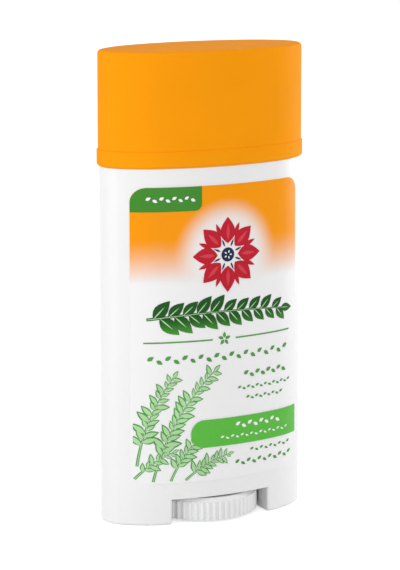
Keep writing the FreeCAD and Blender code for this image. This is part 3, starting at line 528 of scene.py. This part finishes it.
blossom = {"x": 1.0, "z": 76.0, "petals": 8, "start": 3.2, "length": 7.4, "width": 4.6, "eye": 2.0}
centre = (blossom["x"], blossom["z"])
between = math.pi / blossom["petals"]
rosettes = [  # name, ink, start, length, width, turn, layer, what it stands for
    ("blossom_petals", "crimsonInk", blossom["start"], blossom["length"], blossom["width"], 0.0, "over",
     ("print_blossom",)),
    ("blossom_sepals", "crimsonInk", 5.6, 4.0, 1.2, between, "over", ()),
    ("blossom_folds", "roseInk", 4.2, 4.6, 1.1, 0.0, "top", ()),
    ("blossom_veins", "navyInk", 2.5, 2.2, 0.5, between, "over", ()),
]
for name, ink, start, length, width, turn, layer, stands in rosettes:
    sizes = {"Petals": blossom["petals"], "Start": start, "Length": length, "Width": width, "Turn": turn}
    printed(name, [drawn("rosette", ink, sizes, centre)], ink, "crimson_ink", layer, stands, cell=0.5)
eye = outlineMesh([(centre[0] + blossom["eye"] * math.cos(step * math.tau / 40),
                    centre[1] + blossom["eye"] * math.sin(step * math.tau / 40)) for step in range(40)])
printed("blossom_eye", [eye], "navyInk", "crimson_ink", "over", cell=0.5)
pips = drawn("rosette", "whiteInk", {"Petals": 5, "Start": 0.5, "Length": 0.8, "Width": 0.42}, centre)
printed("blossom_pips", [pips], "whiteInk", "label_film", "top", cell=0.5)

garland = {"Pairs": 10, "Reach": 42.5, "Bend": 1.2, "Stem": 0.8, "Leaf Length": 6.8, "Leaf Width": 3.6,
           "Lean": 0.74, "Bare": 0.04, "Taper": 0.35, "Jitter": 0.12, "Seed": 4}
printed("garland", [drawn("stem", "garlandInk", garland, (-22.2, 58.8))], "garlandInk", "dark_green_ink",
        stands=("print_garland",))
garland.update({"Leaf Length": 4.6, "Leaf Width": 0.34, "Stem": 0.2})
printed("garland_veins", [drawn("stem", "paleGreenInk", garland, (-22.2, 58.8))], "paleGreenInk", "leaf_green_ink",
        "detail")
rules = {"low": 52.0, "high": 52.4, "reach": 23.0, "gap": 3.6}
marks = [outlineMesh([(first, rules["low"]), (last, rules["low"]), (last, rules["high"]), (first, rules["high"])])
         for first, last in ((-rules["reach"], -rules["gap"]), (rules["gap"], rules["reach"]))]
marks.append(drawn("rosette", "midGreenInk", {"Petals": 5, "Start": 0.3, "Length": 1.7, "Width": 0.9,
                                              "Turn": 0.31}, (0.0, 52.2)))
printed("fine_rules", marks, "midGreenInk", "dark_green_ink", stands=("print_fine_rules",))

sprigs = [  # x, z, lean, reach, bend, pairs, leaf length, leaf width
    (-24.6, 17.2, 69.0, 27.0, 1.8, 12, 3.9, 1.75),
    (-20.6, 12.7, 60.0, 35.5, 2.8, 15, 4.2, 1.85),
    (-25.2, 13.6, 36.0, 12.5, 0.8, 6, 3.0, 1.4),
    (-15.8, 12.7, 52.0, 17.0, 1.2, 8, 3.5, 1.6),
    (-11.6, 12.7, 26.0, 14.5, 1.0, 8, 3.1, 1.35),
]
outlines, fills = [], []
for number, (x, z, lean, reach, bend, pairs, length, width) in enumerate(sprigs):
    sizes = {"Pairs": pairs, "Reach": reach, "Bend": bend, "Stem": 0.7, "Leaf Length": length,
             "Leaf Width": width, "Lean": 0.92, "Bare": 0.22, "Taper": 0.35, "Jitter": 0.26, "Seed": 11 + number}
    outlines.append(drawn("stem", "midGreenInk", sizes, (x, z), lean))
    sizes.update({"Leaf Length": length * 0.88, "Leaf Width": width * 0.64, "Stem": 0.2})
    fills.append(drawn("stem", "paleGreenInk", sizes, (x, z), lean))
inside = [(0, label["left"] + 0.6, False), (2, label["low"] + 0.6, False)]
printed("sprig_leaves", outlines, "midGreenInk", "leaf_green_ink", stands=("print_sprig",), clip=inside)
printed("sprig_fills", fills, "paleGreenInk", "leaf_green_ink", "detail", clip=inside)

rows = [  # name, ink, slot, layer, x, z, count, step, length, width, tilt
    ("tab_seeds", "whiteInk", "label_film", "top", -22.4, 92.3, 8, 1.75, 1.35, 0.8, 0.5),
    ("heading_seeds", "midGreenInk", "dark_green_ink", "ink", -22.0, 47.2, 19, 2.36, 1.8, 1.05, 0.6),
    ("note_seeds_high", "midGreenInk", "dark_green_ink", "ink", 6.4, 41.4, 8, 1.95, 1.7, 1.0, 0.5),
    ("note_seeds_mid", "midGreenInk", "dark_green_ink", "ink", 4.4, 37.6, 13, 1.5, 1.2, 0.6, 0.4),
    ("note_seeds_low", "midGreenInk", "dark_green_ink", "ink", 7.2, 34.6, 9, 1.5, 1.2, 0.6, 0.4),
    ("stripe_seeds", "whiteInk", "label_film", "top", 3.6, 27.1, 8, 2.0, 1.6, 0.9, 0.5),
    ("stripe_seeds_low", "whiteInk", "label_film", "top", -1.2, 24.0, 15, 1.6, 1.15, 0.5, 0.4),
    ("foot_seeds_high", "midGreenInk", "dark_green_ink", "ink", 8.6, 19.4, 9, 1.7, 1.2, 0.6, 0.4),
    ("foot_seeds", "midGreenInk", "dark_green_ink", "ink", 3.6, 16.2, 11, 1.9, 1.5, 0.8, 0.5),
]
for name, ink, slot, layer, x, z, count, step, length, width, tilt in rows:
    sizes = {"Count": count, "Step": step, "Length": length, "Width": width, "Tilt": tilt, "Jitter": 0.1}
    printed(name, [drawn("seeds", ink, sizes, (x, z))], ink, slot, layer)
print("label drawn in", len(bodyPieces), "pieces")

# The CAD's own plastics
finishes = {"cap": "capPlastic", "barrel": "barrelPlastic", "dial_screw": "dialPlastic",
            "elevator": "innerPlastic", "product_stick": "stickWax", "dome_seal": "sealPlastic",
            "label": "labelFilm", "print_orange_field": "orangeInk", "print_green_tab": "deepGreenInk",
            "print_green_stripe": "leafGreenInk", "print_fine_rules": "darkGreenInk",
            "print_garland": "darkGreenInk", "print_blossom": "crimsonInk", "print_sprig": "leafGreenInk"}
for name, finish in finishes.items():
    for slot in nodes[name].material_slots:
        slot.material = materials[finish]

for piece, slot, stands in bodyPieces:
    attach(piece, "barrel")
    if stands:
        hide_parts(*stands)

# Floor, daylight and lamps
studio = {"floorHalf": 3.0, "floorColour": 0.76, "floorGlow": 0.6, "world": 0.73,
          "left": (-0.70, -0.05, 0.22), "leftPower": 1.8, "leftSize": 0.34,
          "right": (0.55, 0.04, 0.16), "rightPower": 1.3, "rightSize": 0.3,
          "front": (-0.12, -0.82, 0.10), "frontPower": 2.05, "frontSize": 0.5}
half = studio["floorHalf"]
floorMesh = bpy.data.meshes.new("studio_floor")
floorMesh.from_pydata([(-half, -half, 0), (half, -half, 0), (half, half, 0), (-half, half, 0)], [], [(0, 1, 2, 3)])
floor = bpy.data.objects.new("studio_floor", floorMesh)
bpy.context.scene.collection.objects.link(floor)
floorMaterial = bpy.data.materials.new("studioFloor")
floorMaterial.use_nodes = True
tree = floorMaterial.node_tree
tree.nodes["Principled BSDF"].inputs["Base Color"].default_value = (*[studio["floorColour"]] * 3, 1)
tree.nodes["Principled BSDF"].inputs["Roughness"].default_value = 0.9
tree.nodes["Principled BSDF"].inputs["Specular IOR Level"].default_value = 0.1
path = tree.nodes.new("ShaderNodeLightPath")
glow = tree.nodes.new("ShaderNodeEmission")
glow.inputs["Color"].default_value = (1, 1, 1, 1)
seen = shaderMath(tree, "MAXIMUM", path.outputs["Is Camera Ray"], path.outputs["Is Glossy Ray"])
joined(tree, shaderMath(tree, "MULTIPLY", seen, studio["floorGlow"]), glow.inputs["Strength"])
both = tree.nodes.new("ShaderNodeAddShader")
joined(tree, tree.nodes["Principled BSDF"].outputs[0], both.inputs[0])
joined(tree, glow.outputs[0], both.inputs[1])
joined(tree, both.outputs[0], tree.nodes["Material Output"].inputs["Surface"])
floorMesh.materials.append(floorMaterial)

world = bpy.data.worlds.new("daylight")
bpy.context.scene.world = world
world.use_nodes = True
tree = world.node_tree
backdrop = tree.nodes["Background"]
backdrop.inputs["Color"].default_value = (1, 1, 1, 1)
path = tree.nodes.new("ShaderNodeLightPath")
seen = shaderMath(tree, "MAXIMUM", path.outputs["Is Camera Ray"], path.outputs["Is Transmission Ray"])
joined(tree, ranged(tree, seen, 0, 1, studio["world"], 1.0), backdrop.inputs["Strength"])


def addLamp(name, place, power, size, target=(0, 0, 0.065)):
    data = bpy.data.lights.new(name, "AREA")
    data.energy = power
    data.shape = "RECTANGLE"
    data.size = size
    data.size_y = size * 1.5
    lamp = bpy.data.objects.new(name, data)
    bpy.context.scene.collection.objects.link(lamp)
    lamp.location = place
    lamp.rotation_euler = (Vector(target) - Vector(place)).to_track_quat("-Z", "Y").to_euler()
    return lamp


for side in ("left", "right", "front"):
    addLamp(side + "Lamp", studio[side], studio[side + "Power"], studio[side + "Size"])

# The camera, at the photograph's angle and framing
view = {"azimuth": 27.268, "distance": 747.58, "height": 205.36, "pitch": 8.712, "focal": 2685.6,
        "shiftX": -0.80, "shiftY": -90.0, "longSide": 570}
lens = bpy.data.cameras.new("studioCamera")
lens.sensor_width = 36
lens.lens = view["focal"] * 36 / view["longSide"]
lens.shift_x = view["shiftX"] / view["longSide"]
lens.shift_y = view["shiftY"] / view["longSide"]
lens.clip_start = 0.05
lens.clip_end = 20
camera = bpy.data.objects.new("studioCamera", lens)
bpy.context.scene.collection.objects.link(camera)
azimuth = math.radians(view["azimuth"])
camera.location = (-view["distance"] * math.sin(azimuth) * mm, -view["distance"] * math.cos(azimuth) * mm,
                   view["height"] * mm)
camera.rotation_euler = (math.radians(90 - view["pitch"]), 0, -azimuth)
bpy.context.scene.camera = camera
bpy.context.scene.view_settings.view_transform = "Standard"
print("studio ready")
